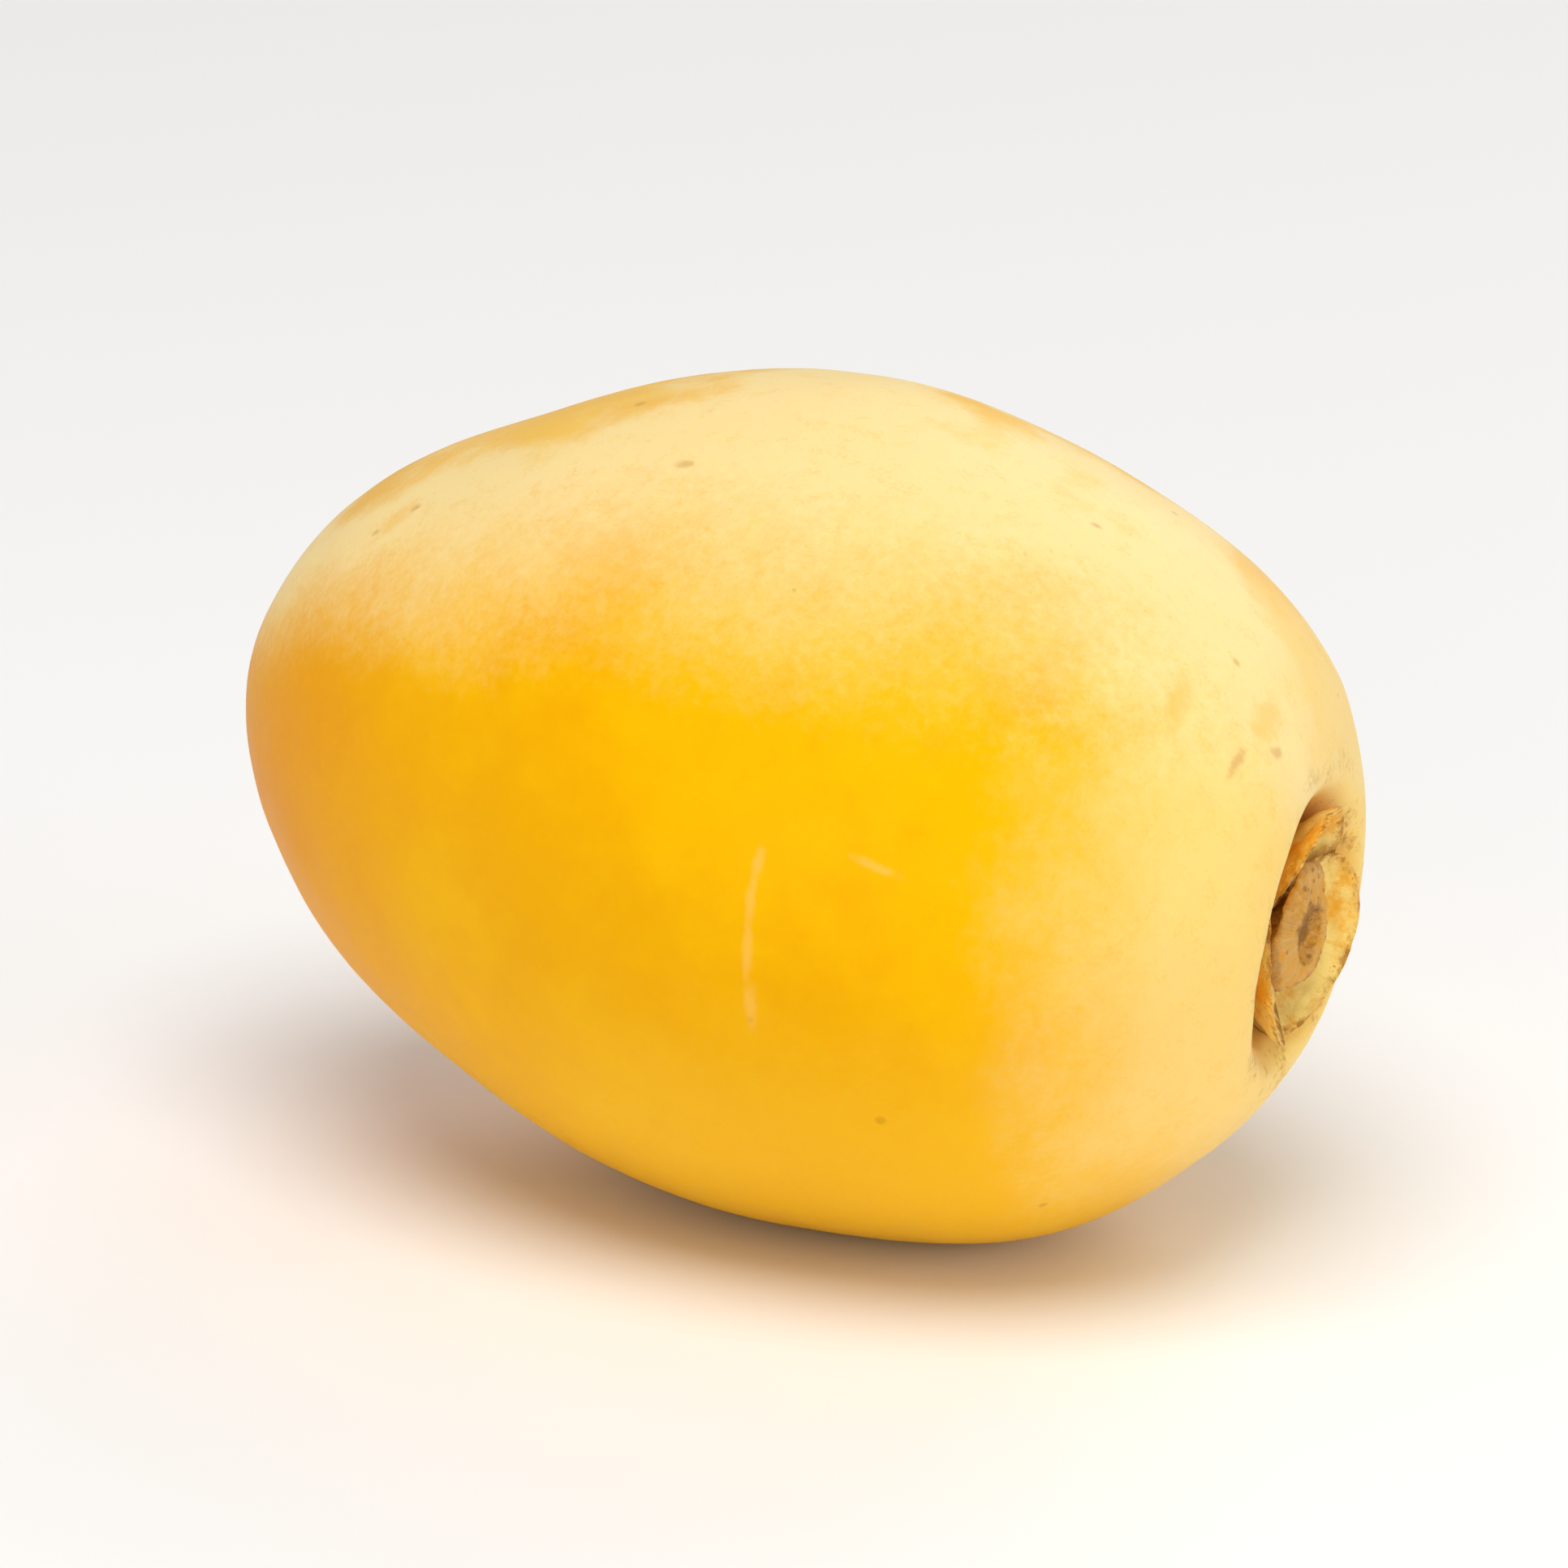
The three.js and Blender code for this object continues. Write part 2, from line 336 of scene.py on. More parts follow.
def mottle_group():
    """Soft cloudy patches with a finer grain inside them, as a mask from 0 to 1."""
    inputs = (
        ("Vector", "NodeSocketVector", None),
        ("Scale", "NodeSocketFloat", 0.3),
        ("Grain", "NodeSocketFloat", 0.35),
        ("Low", "NodeSocketFloat", 0.4),
        ("High", "NodeSocketFloat", 0.6),
    )
    tree, shader, given, out = new_group("Mottle", inputs, "Mask")
    broad = shader.noise(given["Vector"], given["Scale"], 4, 0.6)
    finer = shader.noise(given["Vector"], shader.math("MULTIPLY", given["Scale"], 6), 3, 0.6)
    centred = shader.math("SUBTRACT", finer, 0.5)
    grainy = shader.math("MULTIPLY_ADD", centred, given["Grain"], broad)
    shader.feed(shader.ramp(grainy, given["Low"], given["High"]), out["Mask"])
    return tree


def dots_group():
    """Small scattered round dots, as a mask from 0 to 1."""
    inputs = (
        ("Vector", "NodeSocketVector", None),
        ("Scale", "NodeSocketFloat", 0.5),
        ("Radius", "NodeSocketFloat", 0.1),
        ("Share", "NodeSocketFloat", 0.3),
    )
    tree, shader, given, out = new_group("Dots", inputs, "Mask")
    cells = shader.add("ShaderNodeTexVoronoi", {"Vector": given["Vector"], "Scale": given["Scale"]})
    chance = shader.add("ShaderNodeSeparateColor", {"Color": cells.outputs["Color"]}).outputs
    chosen = shader.math("LESS_THAN", chance["Red"], given["Share"])
    size = shader.math("MULTIPLY", given["Radius"], shader.math("ADD", chance["Green"], 0.5))
    inner = shader.math("MULTIPLY", size, 0.4)
    spot = shader.ramp(cells.outputs["Distance"], inner, size, 1.0, 0.0)
    shader.feed(shader.math("MULTIPLY", spot, chosen), out["Mask"])
    return tree


def blemish_group():
    """One mark with ragged edges at a place, long and wide as given, as a mask from 0 to 1."""
    inputs = (
        ("Vector", "NodeSocketVector", None),
        ("Place", "NodeSocketVector", None),
        ("Turn", "NodeSocketVector", None),
        ("Size", "NodeSocketVector", (1.0, 1.0, 1.0)),
        ("Raggedness", "NodeSocketFloat", 0.8),
    )
    tree, shader, given, out = new_group("Blemish", inputs, "Mask")
    values = {
        "Vector": given["Vector"],
        "Location": given["Place"],
        "Rotation": given["Turn"],
        "Scale": given["Size"],
    }
    local = shader.add("ShaderNodeMapping", values, vector_type="TEXTURE").outputs["Vector"]
    reach = shader.vector_math("LENGTH", {0: local}, "Value")
    rough = shader.noise(given["Vector"], 3.0, 4, 0.7)
    ragged = shader.math("MULTIPLY_ADD", shader.math("SUBTRACT", rough, 0.5), given["Raggedness"], reach)
    shader.feed(shader.ramp(ragged, 0.1, 0.62, 1.0, 0.0), out["Mask"])
    return tree


def shared_group(name, build):
    return bpy.data.node_groups.get(name) or build()


def new_material(name):
    """A material with just its output and a Principled shader."""
    material = bpy.data.materials.new(name)
    material.use_nodes = True
    tree = material.node_tree
    tree.nodes.clear()
    shader = Shader(tree)
    output = shader.add("ShaderNodeOutputMaterial")
    surface = shader.add("ShaderNodeBsdfPrincipled")
    shader.feed(surface.outputs["BSDF"], output.inputs["Surface"])
    return material, shader, surface.inputs


def fruit_millimetres(shader):
    """Object coordinates in millimetres along the fruit's own axes, from its middle."""
    values = {
        "Vector": shader.add("ShaderNodeTexCoord").outputs["Object"],
        "Location": CENTRE,
        "Rotation": Euler((0, REST_TILT, 0)),
        "Scale": (MM, MM, MM),
    }
    return shader.add("ShaderNodeMapping", values, vector_type="TEXTURE").outputs["Vector"]


# ---------------------------------------------------------------- materials


def mark_place(piece, along, side):
    """Where a mark lies on the skin, in millimetres along the fruit's own axes from its middle."""
    origin, inward = place_on_fruit(along, side)
    hit, spot, _normal, _face = piece.ray_cast(origin, inward)
    if not hit:
        raise RuntimeError(f"no skin at {along}, {side}")
    return on_fruit_axes(spot)


def apex_place(piece):
    """Where the apex lies, in millimetres along the fruit's own axes from its middle."""
    return on_fruit_axes(min((v.co for v in piece.data.vertices), key=lambda co: co.dot(AXIS)))


def marks_mask(shader, piece, vector, kind):
    """All marks of a kind in one mask."""
    tree = shared_group("Blemish", blemish_group)
    mask = 0.0
    for mark, along, side, length_mm, width_mm, lean in MARKS:
        if mark != kind:
            continue
        spot = mark_place(piece, along, side)
        values = {
            "Vector": vector,
            "Place": spot,
            "Turn": mark_turn(side, lean),
            "Size": (length_mm, width_mm, 1.5),
        }
        mask = shader.math("MAXIMUM", mask, place(shader, tree, values))
    return mask


def mark_turn(side, lean):
    """Turn of a mark: x along the fruit, y round it and z straight out of the skin."""
    turn = Euler((radians(side - 90), 0, 0)).to_matrix() @ Euler((0, 0, radians(lean))).to_matrix()
    return Vector(turn.to_euler())


def skin_material(piece, skin):
    material, shader, surface = new_material("date_skin")
    mottle = shared_group("Mottle", mottle_group)
    dots = shared_group("Dots", dots_group)
    vector = fruit_millimetres(shader)
    axes = shader.add("ShaderNodeSeparateXYZ", {"Vector": vector}).outputs
    drift = shader.math("SUBTRACT", shader.noise(vector, 0.12, 2, 0.5), 0.5)
    patch = shader.math("SUBTRACT", shader.noise(vector, 0.5, 3, 0.6), 0.5)
    speckle = shader.math("SUBTRACT", shader.noise(vector, 2.4, 3, 0.75), 0.5)
    uneven = shader.math("MULTIPLY_ADD", speckle, 4.5, shader.math("MULTIPLY", patch, 4))

    # Turn about the fruit's axis, from level at the front up over the top, made uneven
    radius = shader.vector_math("LENGTH", {0: across(shader, vector)}, "Value")
    around = shader.math("ARCTAN2", axes["Z"], shader.math("MULTIPLY", axes["Y"], -1))
    around = shader.math("MULTIPLY_ADD", axes["X"], -BLOOM_SHEEN_SLOPE, around)
    around = shader.math("MULTIPLY_ADD", drift, 0.45, shader.math("MULTIPLY_ADD", patch, 0.12, around))
    around = shader.math("MULTIPLY_ADD", speckle, 0.35, around)

    # Golden sides, sunnier in patches and riper towards the apex; the riper orange is fullest low on the
    # front and underside, where it is painted shade
    sunny = place(shader, mottle, {"Vector": vector, "Scale": 0.1, "Grain": 0.3, "Low": 0.35, "High": 0.65})
    sides = shader.mix(sunny, skin.golden, skin.yellow)
    along = shader.math("MULTIPLY_ADD", drift, 8, axes["X"])
    # Riper orange towards the apex, made fullest low down as painted shade
    ripe_and_shade = shader.math("MULTIPLY", shader.ramp(along, -3, -17), shader.ramp(around, 0.9, -0.1, 0.4, 1))
    sides = shader.mix(shader.math("MULTIPLY", ripe_and_shade, 0.85), sides, skin.orange)

    # Paler skin on the belly; round the calyx and on top, paler skin partly painted as sheen of the light,
    # the top's sheen centred towards the front; speckled where it ends
    upward = shader.math("MULTIPLY_ADD", axes["Y"], -0.3, shader.math("MULTIPLY", axes["Z"], 0.93))
    height = shader.math("MULTIPLY_ADD", drift, 4, shader.math("ADD", upward, uneven))
    belly = shader.math("MULTIPLY", shader.ramp(height, 3, -3), shader.ramp(along, -6, 3))
    base = shader.mix(shader.math("MULTIPLY", belly, 0.75), sides, skin.honey)
    rim = shader.math("MULTIPLY_ADD", drift, 5, shader.math("MULTIPLY_ADD", uneven, 0.6, axes["X"]))
    # Peach round the calyx: paler skin with a painted sheen
    shoulder_sheen = shader.ramp(rim, 11.5, 17.5)
    base = shader.mix(shader.math("MULTIPLY", shoulder_sheen, 0.9), base, skin.peach_sheen)
    beyond = shader.math("MULTIPLY_ADD", drift, 2.2, shader.math("MULTIPLY_ADD", patch, 0.6, around))
    # Pale top: the waxy skin's own paler colour plus a painted sheen, leaning towards the front where the
    # light falls
    bloom_and_sheen = shader.ramp(around, *BLOOM_SHEEN_FRONT)
    bloom_and_sheen = shader.math("MULTIPLY", bloom_and_sheen, shader.ramp(beyond, *BLOOM_SHEEN_TOP, 1, BLOOM_SHEEN_REST))
    bloom_and_sheen = shader.math("MULTIPLY", bloom_and_sheen, shader.ramp(beyond, *BLOOM_SHEEN_BACK))
    bloom_and_sheen = shader.math("MULTIPLY", bloom_and_sheen, shader.ramp(radius, 1.5, 5))
    base = shader.mix(shader.math("MULTIPLY", bloom_and_sheen, 0.92), base, skin.pale)

    # Golden freckles in the bloom and small dots everywhere
    values = {"Vector": vector, "Scale": 1.3, "Grain": 0.7, "Low": 0.52, "High": 0.78}
    freckles = place(shader, mottle, values)
    base = shader.mix(shader.math("MULTIPLY", freckles, 0.22), base, skin.golden)
    specks = place(shader, dots, {"Vector": vector, "Scale": 0.55, "Radius": 0.10, "Share": 0.22})
    base = shader.mix(shader.math("MULTIPLY", specks, 0.3), base, skin.brown)
    stains = marks_mask(shader, piece, vector, "stain")
    base = shader.mix(shader.math("MULTIPLY", stains, 0.35), base, skin.golden)
    scars = marks_mask(shader, piece, vector, "scar")
    base = shader.mix(shader.math("MULTIPLY", scars, 0.35), base, skin.brown)
    scratches = marks_mask(shader, piece, vector, "scratch")
    base = shader.mix(shader.math("MULTIPLY", scratches, 0.26), base, skin.blister)

    # Yellower skin inside the socket, with a corky brown crust here and there on its rim
    from_calyx = distance_from(shader, vector, CALYX_MIDDLE)
    socket = shader.ramp(shader.math("MULTIPLY_ADD", patch, 2, from_calyx), 5.2, 3.8)
    base = shader.mix(shader.math("MULTIPLY", socket, 0.35), base, skin.yellow)
    ring = shader.math("MULTIPLY", shader.ramp(from_calyx, 6.2, 4.6), shader.ramp(from_calyx, 3.4, 4.2))
    crust = place(shader, mottle, {"Vector": vector, "Scale": 0.8, "Grain": 0.6, "Low": 0.52, "High": 0.78})
    crust = shader.math("MULTIPLY", crust, ring)
    base = shader.mix(shader.math("MULTIPLY", crust, 0.6), base, skin.brown)

    # Warm patch round the nub at the apex, and the brown tip of the nub
    apex = apex_place(piece)
    from_apex = distance_from(shader, vector, apex)
    warm = shader.ramp(shader.math("MULTIPLY_ADD", uneven, 0.5, from_apex), 5.0, 1.5, 0, 0.45)
    base = shader.mix(warm, base, skin.rust)
    base = shader.mix(shader.ramp(from_apex, 0.75, 0.3, 0, 0.8), base, skin.brown)

    shader.feed(base, surface["Base Color"])
    polish = shader.noise(vector, 0.8, 4, 0.6)
    rough = shader.math("MULTIPLY_ADD", shader.math("SUBTRACT", polish, 0.5), 0.16, skin.roughness)
    rough = shader.math("MULTIPLY_ADD", scars, 0.2, rough)
    shader.feed(rough, surface["Roughness"])
    grain = shader.noise(vector, 4.0, 4, 0.6)
    relief = shader.math("MULTIPLY_ADD", scars, -0.8, shader.math("MULTIPLY", grain, 0.5))
    relief = shader.math("MULTIPLY_ADD", specks, -0.3, relief)
    relief = shader.math("MULTIPLY_ADD", crust, 1.5, relief)
    bump = shader.add("ShaderNodeBump", {"Height": relief, "Strength": 0.35, "Distance": 0.05 * MM})
    shader.feed(bump.outputs["Normal"], surface["Normal"])

    # Satin wax over flesh that light spreads in
    surface["Specular IOR Level"].default_value = skin.gloss
    surface["Specular Tint"].default_value = (*skin.gleam, 1)
    surface["Coat Weight"].default_value = skin.wax
    surface["Coat Roughness"].default_value = 0.28
    surface["Subsurface Weight"].default_value = skin.glow
    surface["Subsurface Radius"].default_value = (1.0, 0.5, 0.08)
    surface["Subsurface Scale"].default_value = 2.5 * MM
    return material


def distance_from(shader, vector, place_mm):
    values = {0: vector, 1: place_mm}
    return shader.vector_math("DISTANCE", values, "Value")


def across(shader, vector):
    """The part of a vector that runs across the fruit's long axis."""
    return shader.vector_math("MULTIPLY", {0: vector, 1: (0, 1, 1)})


def streaks(shader, vector, fineness):
    """Fine streaks that run out from the middle of the calyx, from 0 to 1."""
    out = shader.vector_math("SUBTRACT", {0: vector, 1: CALYX_MIDDLE})
    flat = across(shader, out)
    way = shader.vector_math("NORMALIZE", {0: flat})
    spread = shader.vector_math("SCALE", {0: way, "Scale": fineness})
    bend = shader.vector_math("SCALE", {0: vector, "Scale": 0.4})
    along = shader.vector_math("ADD", {0: spread, 1: bend})
    return shader.noise(along, 1.0, 4, 0.65)


def petal_material(calyx):
    material, shader, surface = new_material("date_petal")
    mottle = shared_group("Mottle", mottle_group)
    vector = fruit_millimetres(shader)
    margin = shader.add("ShaderNodeAttribute", attribute_name="margin_distance").outputs["Fac"]
    veins = streaks(shader, vector, 9)

    # Fleshy yellow middle, deeper orange in patches and between the veins
    patchy = place(shader, mottle, {"Vector": vector, "Scale": 0.45, "Grain": 0.4, "Low": 0.4, "High": 0.68})
    base = shader.mix(patchy, calyx.petal_light, calyx.petal_deep)
    base = shader.mix(shader.ramp(veins, 0.5, 0.7, 0, 0.45), base, calyx.petal_deep)

    # Dry margin, brown in stretches and tan between them, with brown flecks further in
    frayed = shader.math("SUBTRACT", shader.noise(vector, 2.2, 4, 0.75), 0.5)
    inward = shader.math("MULTIPLY_ADD", frayed, 0.9, margin)
    width = calyx.margin * PER_MM
    dry = shader.ramp(inward, 0.08, width, 1, 0)
    scorched = place(shader, mottle, {"Vector": vector, "Scale": 0.5, "Grain": 0.8, "Low": 0.4, "High": 0.6})
    tone = shader.mix(scorched, calyx.cup_tan, calyx.petal_dry)
    base = shader.mix(shader.math("MULTIPLY", dry, 0.85), base, tone)
    flecks = place(shader, mottle, {"Vector": vector, "Scale": 2.2, "Grain": 0.8, "Low": 0.66, "High": 0.76})
    flecks = shader.math("MULTIPLY", flecks, shader.ramp(margin, 1.2, 0.2, 0.15, 0.9))
    base = shader.mix(flecks, base, calyx.petal_dry)
    shader.feed(base, surface["Base Color"])
    shader.feed(shader.math("MULTIPLY_ADD", dry, 0.3, 0.45), surface["Roughness"])
    relief = shader.math("MULTIPLY_ADD", shader.noise(vector, 4.0, 4, 0.65), 0.5, veins)
    relief = shader.math("MULTIPLY_ADD", dry, -0.4, relief)
    bump = shader.add("ShaderNodeBump", {"Height": relief, "Strength": 0.6, "Distance": 0.16 * MM})
    shader.feed(bump.outputs["Normal"], surface["Normal"])
    surface["Specular IOR Level"].default_value = 0.3
    surface["Specular Tint"].default_value = (*calyx.petal_light, 1)
    surface["Subsurface Weight"].default_value = 0.15
    surface["Subsurface Radius"].default_value = (1.0, 0.5, 0.15)
    surface["Subsurface Scale"].default_value = 1.0 * MM
    return material


def cup_material(calyx):
    material, shader, surface = new_material("date_sepal_cup")
    mottle = shared_group("Mottle", mottle_group)
    dots = shared_group("Dots", dots_group)
    vector = fruit_millimetres(shader)
    out = shader.vector_math("SUBTRACT", {0: vector, 1: CALYX_MIDDLE})
    flat = across(shader, out)
    reach = shader.vector_math("LENGTH", {0: flat}, "Value")
    grain = shader.noise(vector, 3.0, 5, 0.75)
    reach = shader.math("MULTIPLY_ADD", shader.math("SUBTRACT", grain, 0.5), 1.2, reach)
    fibres = streaks(shader, vector, 14)

    # Corky tan with paler fibres, a worn brown edge and the brown scar of the strand
    patchy = place(shader, mottle, {"Vector": vector, "Scale": 0.7, "Grain": 0.9, "Low": 0.42, "High": 0.66})
    base = shader.mix(shader.math("MULTIPLY", patchy, 0.75), calyx.cup_tan, calyx.petal_deep)
    base = shader.mix(shader.ramp(fibres, 0.5, 0.66, 0, 0.5), base, calyx.cup_pale)
    scar = shader.math("MULTIPLY", shader.ramp(reach, 1.05, 0.7), 0.75)
    edge = shader.math("MULTIPLY", shader.ramp(reach, 1.7, 2.3), 0.6)
    base = shader.mix(shader.math("MAXIMUM", scar, edge), base, calyx.cup_brown)
    specks = place(shader, dots, {"Vector": vector, "Scale": 3.0, "Radius": 0.35, "Share": 0.3})
    base = shader.mix(shader.math("MULTIPLY", specks, 0.6), base, calyx.cup_brown)
    shader.feed(base, surface["Base Color"])
    shader.feed(shader.math("MULTIPLY_ADD", grain, 0.2, 0.58), surface["Roughness"])
    relief = shader.math("ADD", grain, shader.math("MULTIPLY", fibres, 0.8))
    bump = shader.add("ShaderNodeBump", {"Height": relief, "Strength": 0.8, "Distance": 0.22 * MM})
    shader.feed(bump.outputs["Normal"], surface["Normal"])
    surface["Specular IOR Level"].default_value = 0.25
    return material


# Slightly greyer tone that the floor drifts towards
FLOOR_SHADE = (0.8, 0.79, 0.77)


def floor_material(stage):
    material, shader, surface = new_material("studio_floor")
    vector = shader.add("ShaderNodeTexCoord").outputs["Object"]
    tone = shader.math("MULTIPLY", shader.noise(vector, 3.0, 2), 0.06)
    shader.feed(shader.mix(tone, stage.floor, FLOOR_SHADE), surface["Base Color"])
    surface["Roughness"].default_value = 0.6
    return material


# ---------------------------------------------------------------- pieces


def hand_over(piece, node, material):
    """Gives a finished piece its material and its body, and hides the frame node it stands for."""
    piece.data.materials.clear()
    piece.data.materials.append(material)
    select_only(piece)
    bpy.ops.object.shade_smooth()
    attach(piece, BODY)
    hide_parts(node)


# Share of the fruit's length that is smoothed, which leaves out its two ends
FLANK_SHARE = 0.82
# Breadth of the broad unevenness of the skin, and of its small ripples
SWELL_BREADTH = 7 * MM
RIPPLE_BREADTH = 1.6 * MM


class DATE_OT_fruit(bpy.types.Operator):
    """Model the fruit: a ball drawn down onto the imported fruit, evened out and made slightly uneven"""

    bl_idname = "date.fruit"
    bl_label = "Fruit"

    def execute(self, context):
        skin = context.scene.date_skin
        bpy.ops.object.select_all(action="DESELECT")
        bpy.ops.mesh.primitive_uv_sphere_add(
            segments=skin.sides,
            ring_count=skin.rings,
            radius=0.5,
            location=CENTRE,
            rotation=(0, radians(90) + REST_TILT, 0),
            scale=(FRUIT_SIZE.z, FRUIT_SIZE.y, FRUIT_SIZE.x),
        )
        fruit = context.object
        fruit.name = "fruit_skin"
        settle(fruit)
        finish_modifier(
            fruit,
            "SHRINKWRAP",
            target=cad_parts["fruit"],
            wrap_method="PROJECT",
            use_positive_direction=True,
            use_negative_direction=True,
        )
        self.smooth_flanks(fruit)
        finish_modifier(
            fruit, "SUBSURF", levels=skin.levels, render_levels=skin.levels, subdivision_type="CATMULL_CLARK"
        )
        waves = (("swell", SWELL_BREADTH, skin.swell), ("ripple", RIPPLE_BREADTH, skin.ripple))
        for name, size, strength in waves:
            finish_modifier(fruit, "DISPLACE", texture=clouds(name, size), strength=strength, mid_level=0.5)
        self.flatten_rest_spot(fruit)
        hand_over(fruit, "fruit", skin_material(fruit, skin))
        return {"FINISHED"}

    def smooth_flanks(self, fruit):
        """Evens out the skin, but for the two ends, where the nub and the socket stay sharp."""
        select_only(fruit)
        bpy.ops.object.mode_set(mode="EDIT")
        bpy.ops.mesh.select_all(action="SELECT")
        bpy.ops.mesh.normals_make_consistent(inside=False)
        flank = FLANK_SHARE * FRUIT_SIZE.x / 2
        select_where(fruit, "VERT", lambda at: abs((at - CENTRE).dot(AXIS)) < flank)
        bpy.ops.mesh.vertices_smooth(factor=0.5, repeat=4)
        bpy.ops.object.mode_set(mode="OBJECT")

    def flatten_rest_spot(self, fruit):
        """Presses what would lie below the ground level with it."""
        select_only(fruit)
        bpy.ops.object.mode_set(mode="EDIT")
        select_where(fruit, "VERT", lambda at: at.z < 0)
        if any(vertex.select for vertex in fruit.data.vertices):
            bpy.ops.transform.resize(value=(1, 1, 0), center_override=(0, 0, 0))
        bpy.ops.object.mode_set(mode="OBJECT")


def copy_of_node(node, name):
    """A copy of a frame node as a clean mesh of shared corners and four-sided faces."""
    piece = bpy.data.objects.new(name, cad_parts[node].data.copy())
    bpy.context.scene.collection.objects.link(piece)
    select_only(piece)
    bpy.ops.object.mode_set(mode="EDIT")
    bpy.ops.mesh.select_all(action="SELECT")
    bpy.ops.mesh.remove_doubles(threshold=0.001 * MM)
    bpy.ops.mesh.normals_make_consistent(inside=False)
    bpy.ops.mesh.tris_convert_to_quads(face_threshold=radians(60), shape_threshold=radians(60))
    bpy.ops.object.mode_set(mode="OBJECT")
    return piece


# Points that stand for each edge of a petal's rim
RIM_STEPS = 6


def note_margin(piece, rim):
    """Stores each vertex's distance from the rim, in millimetres, for the material to read."""
    tree = KDTree(len(rim))
    for i, spot in enumerate(rim):
        tree.insert(spot, i)
    tree.balance()
    values = piece.data.attributes.new("margin_distance", "FLOAT", "POINT").data
    for vertex in piece.data.vertices:
        values[vertex.index].value = tree.find(vertex.co)[2] * PER_MM


def sharp_rim(piece):
    """Places along the sharp outer edge of a thin piece."""
    select_only(piece)
    bpy.ops.object.mode_set(mode="EDIT")
    bpy.ops.mesh.select_mode(type="EDGE")
    bpy.ops.mesh.select_all(action="DESELECT")
    bpy.ops.mesh.edges_select_sharp(sharpness=radians(50))
    bpy.ops.object.mode_set(mode="OBJECT")
    spots = []
    for edge in piece.data.edges:
        if edge.select:
            start, end = (piece.data.vertices[i].co for i in edge.vertices)
            spots += [start.lerp(end, step / RIM_STEPS) for step in range(RIM_STEPS)]
    return spots


def push_sideways(piece, texture, depth):
    """Makes a thin piece's edge ragged: pushes it unevenly across the fruit's long axis."""
    for way, strength in (("Y", depth), ("Z", -depth)):
        finish_modifier(piece, "DISPLACE", texture=texture, direction=way, strength=strength, mid_level=0.5)


class DATE_OT_petals(bpy.types.Operator):
    """Model the three petals, with wrinkles and a dry margin"""

    bl_idname = "date.petals"
    bl_label = "Petals"

    def execute(self, context):
        calyx = context.scene.date_calyx
        material = petal_material(calyx)
        for node in PETALS:
            petal = copy_of_node(node, "date_" + node)
            rim = sharp_rim(petal)
            finish_modifier(petal, "SUBSURF", levels=calyx.levels, render_levels=calyx.levels)
            note_margin(petal, rim)
            fray = clouds("fray", 0.8 * MM, 2)
            push_sideways(petal, fray, calyx.fray)
            wrinkle = clouds("wrinkle", 0.6 * MM, 3)
            finish_modifier(petal, "DISPLACE", texture=wrinkle, strength=calyx.wrinkle, mid_level=0.55)
            hand_over(petal, node, material)
        return {"FINISHED"}


class DATE_OT_sepal_cup(bpy.types.Operator):
    """Model the sepal cup with the scar of the strand"""

    bl_idname = "date.sepal_cup"
    bl_label = "Sepal cup"

    def execute(self, context):
        calyx = context.scene.date_calyx
        cup = copy_of_node("sepal_cup", "date_sepal_cup")
        finish_modifier(cup, "SUBSURF", levels=calyx.levels, render_levels=calyx.levels)
        torn = clouds("torn", 0.6 * MM, 2)
        push_sideways(cup, torn, calyx.tear)
        cork = clouds("cork", 0.45 * MM, 3)
        finish_modifier(cup, "DISPLACE", texture=cork, strength=calyx.cork, mid_level=0.5)
        hand_over(cup, "sepal_cup", cup_material(calyx))
        return {"FINISHED"}


# ---------------------------------------------------------------- studio

# White lights: name, azimuth and elevation seen from the fruit in degrees, distance and size in
# metres, and power in watts.
LIGHTS = (
    ("main_softbox", 15, 68, 0.45, 0.36, 1.42),
    ("right_softbox", 92, 12, 0.50, 0.30, 0.62),
    ("front_softbox", 5, 8, 0.60, 0.40, 0.75),
    ("back_softbox", 180, 28, 0.60, 0.35, 0.65),
)


def direction(azimuth, elevation):
    """From the fruit towards a place at this azimuth (0 in front, turning to +X) and elevation."""
    return Vector((sin(azimuth) * cos(elevation), -cos(azimuth) * cos(elevation), sin(elevation)))


def aim(thing, target, roll=0.0):
    """Turns a camera or light to look at a place."""
    look = (target - thing.location).to_track_quat("-Z", "Y")
    thing.rotation_euler = (look.to_matrix() @ Euler((0, 0, roll)).to_matrix()).to_euler()


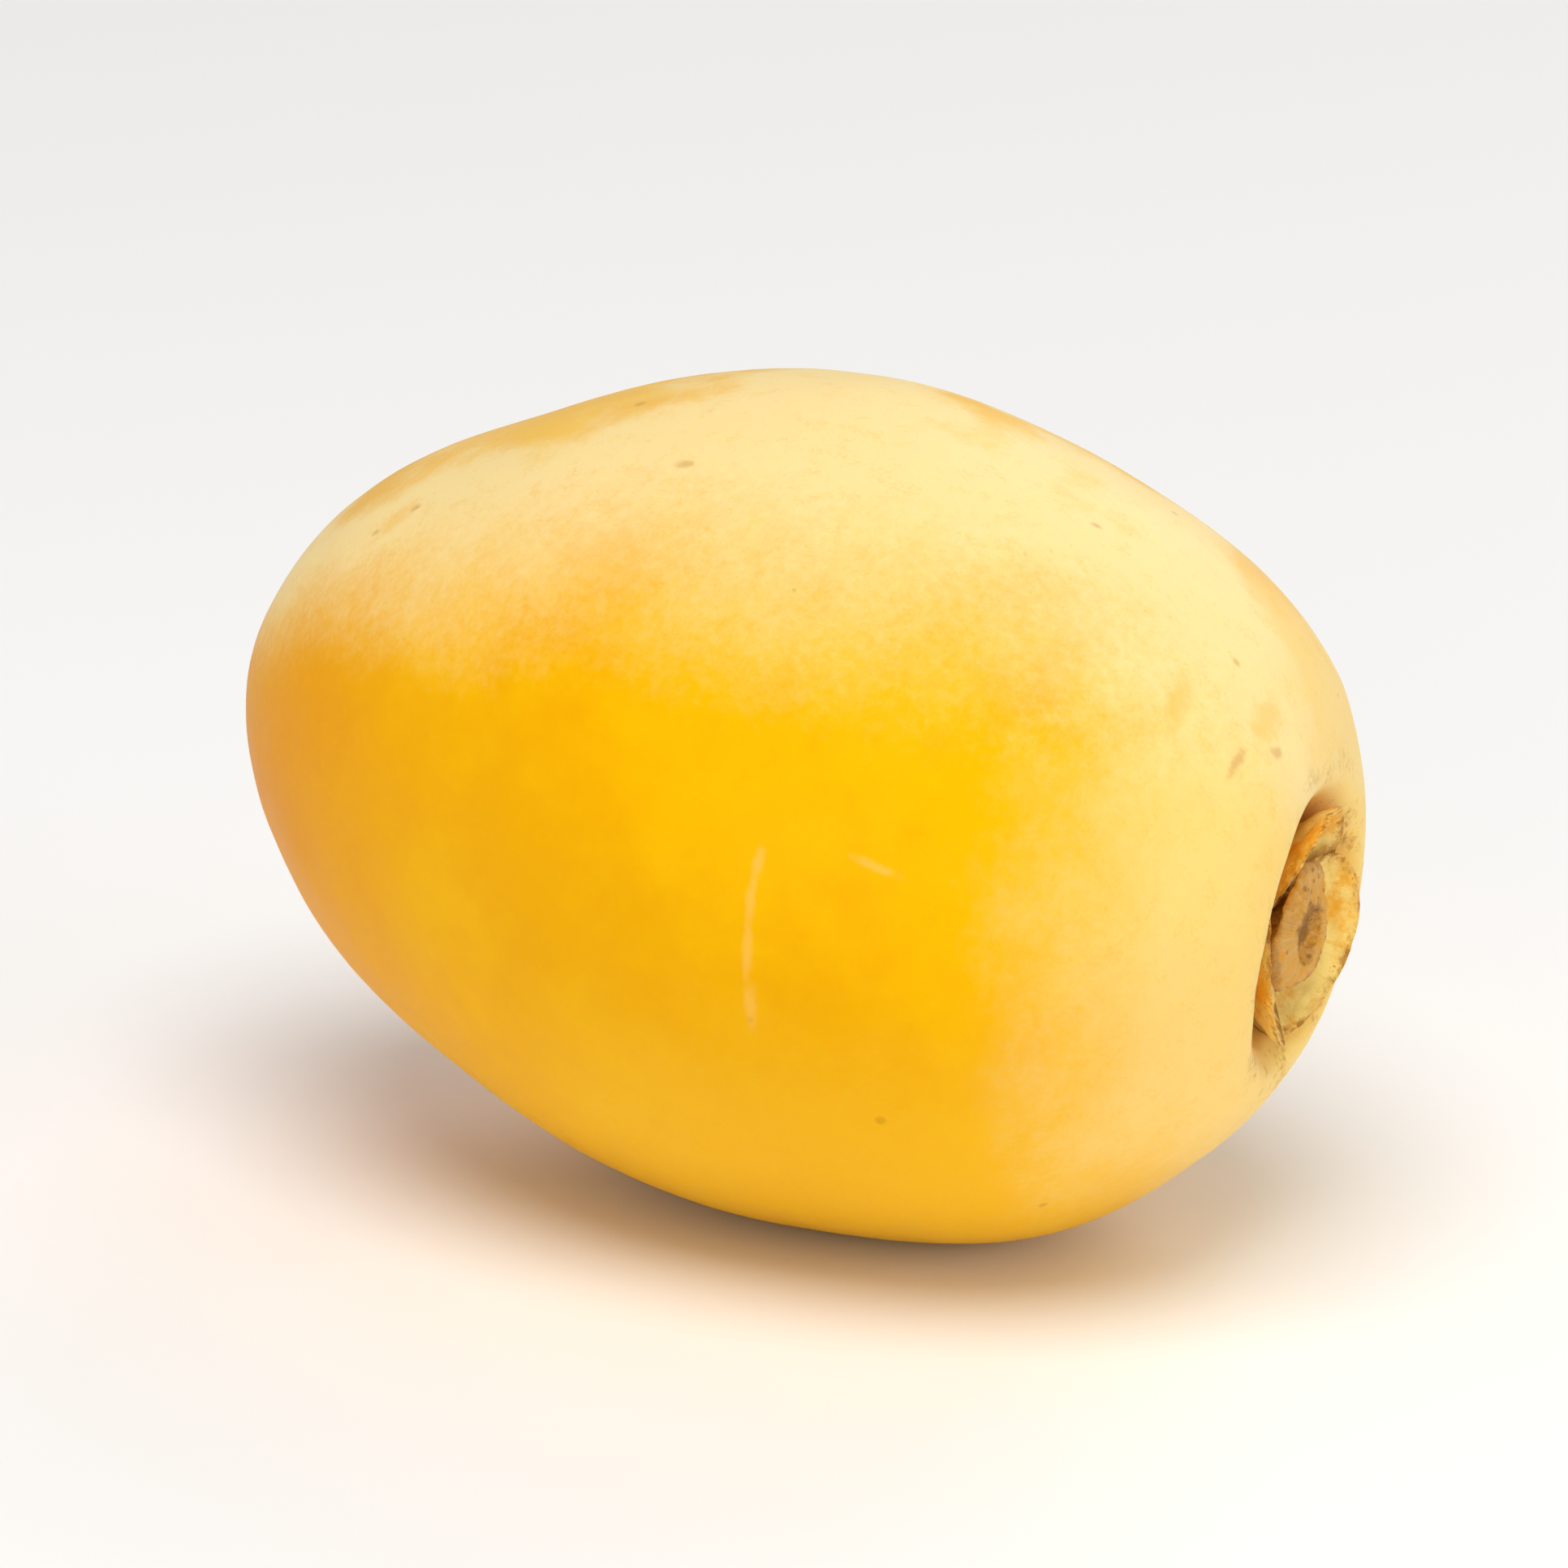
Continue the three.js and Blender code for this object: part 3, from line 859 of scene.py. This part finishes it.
class DATE_OT_stage(bpy.types.Operator):
    """Set the plain pale floor, the soft lights and the camera"""

    bl_idname = "date.stage"
    bl_label = "Studio"

    def execute(self, context):
        stage = context.scene.date_stage
        scene = context.scene
        bpy.ops.object.select_all(action="DESELECT")
        bpy.ops.mesh.primitive_plane_add(size=stage.floor_size, location=(0, 0, 0))
        floor = context.object
        floor.name = "floor"
        floor.data.materials.append(floor_material(stage))

        world = bpy.data.worlds.new("studio")
        world.use_nodes = True
        shader = Shader(world.node_tree)
        seen = shader.add("ShaderNodeLightPath").outputs["Is Camera Ray"]
        strength = shader.math("MULTIPLY_ADD", seen, stage.backdrop - stage.surround, stage.surround)
        shader.feed(strength, world.node_tree.nodes["Background"].inputs["Strength"])
        shader.feed((1, 1, 1), world.node_tree.nodes["Background"].inputs["Color"])
        scene.world = world

        for name, azimuth, elevation, distance, size, power in LIGHTS:
            where = CENTRE + direction(radians(azimuth), radians(elevation)) * distance
            bpy.ops.object.light_add(type="AREA", location=where)
            lamp = context.object
            lamp.name = name
            lamp.data.shape = "DISK"
            lamp.data.size = size
            lamp.data.energy = power
            aim(lamp, CENTRE)

        viewpoint = CENTRE + direction(stage.azimuth, stage.elevation) * stage.distance
        bpy.ops.object.camera_add(location=viewpoint)
        camera = context.object
        camera.name = "camera"
        camera.data.lens = camera.data.sensor_width * stage.distance / stage.view_width
        camera.data.clip_start = 0.01
        aim(camera, CENTRE, stage.roll)
        scene.camera = camera
        scene.view_settings.view_transform = "Standard"
        return {"FINISHED"}


class DATE_PT_panel(bpy.types.Panel):
    """Lists the steps that make the date"""

    bl_label = "Fresh date"
    bl_idname = "DATE_PT_panel"
    bl_space_type = "VIEW_3D"
    bl_region_type = "UI"
    bl_category = "Date"

    def draw(self, context):
        for step in STEPS:
            self.layout.operator(step.bl_idname)
        for name in SETTINGS:
            settings = getattr(context.scene, name)
            box = self.layout.box()
            for label in settings.__annotations__:
                box.prop(settings, label)


STEPS = (DATE_OT_fruit, DATE_OT_petals, DATE_OT_sepal_cup, DATE_OT_stage)
SETTINGS = {"date_skin": DateSkinSettings, "date_calyx": DateCalyxSettings, "date_stage": DateStageSettings}


def register():
    for kind in (*SETTINGS.values(), *STEPS, DATE_PT_panel):
        bpy.utils.register_class(kind)
    for name, kind in SETTINGS.items():
        setattr(bpy.types.Scene, name, PointerProperty(type=kind))


def unregister():
    for name in SETTINGS:
        delattr(bpy.types.Scene, name)
    for kind in (DATE_PT_panel, *reversed(STEPS), *reversed(SETTINGS.values())):
        bpy.utils.unregister_class(kind)


def main():
    register()
    bpy.ops.date.fruit()
    bpy.ops.date.petals()
    bpy.ops.date.sepal_cup()
    bpy.ops.date.stage()


if __name__ == "__main__":
    main()
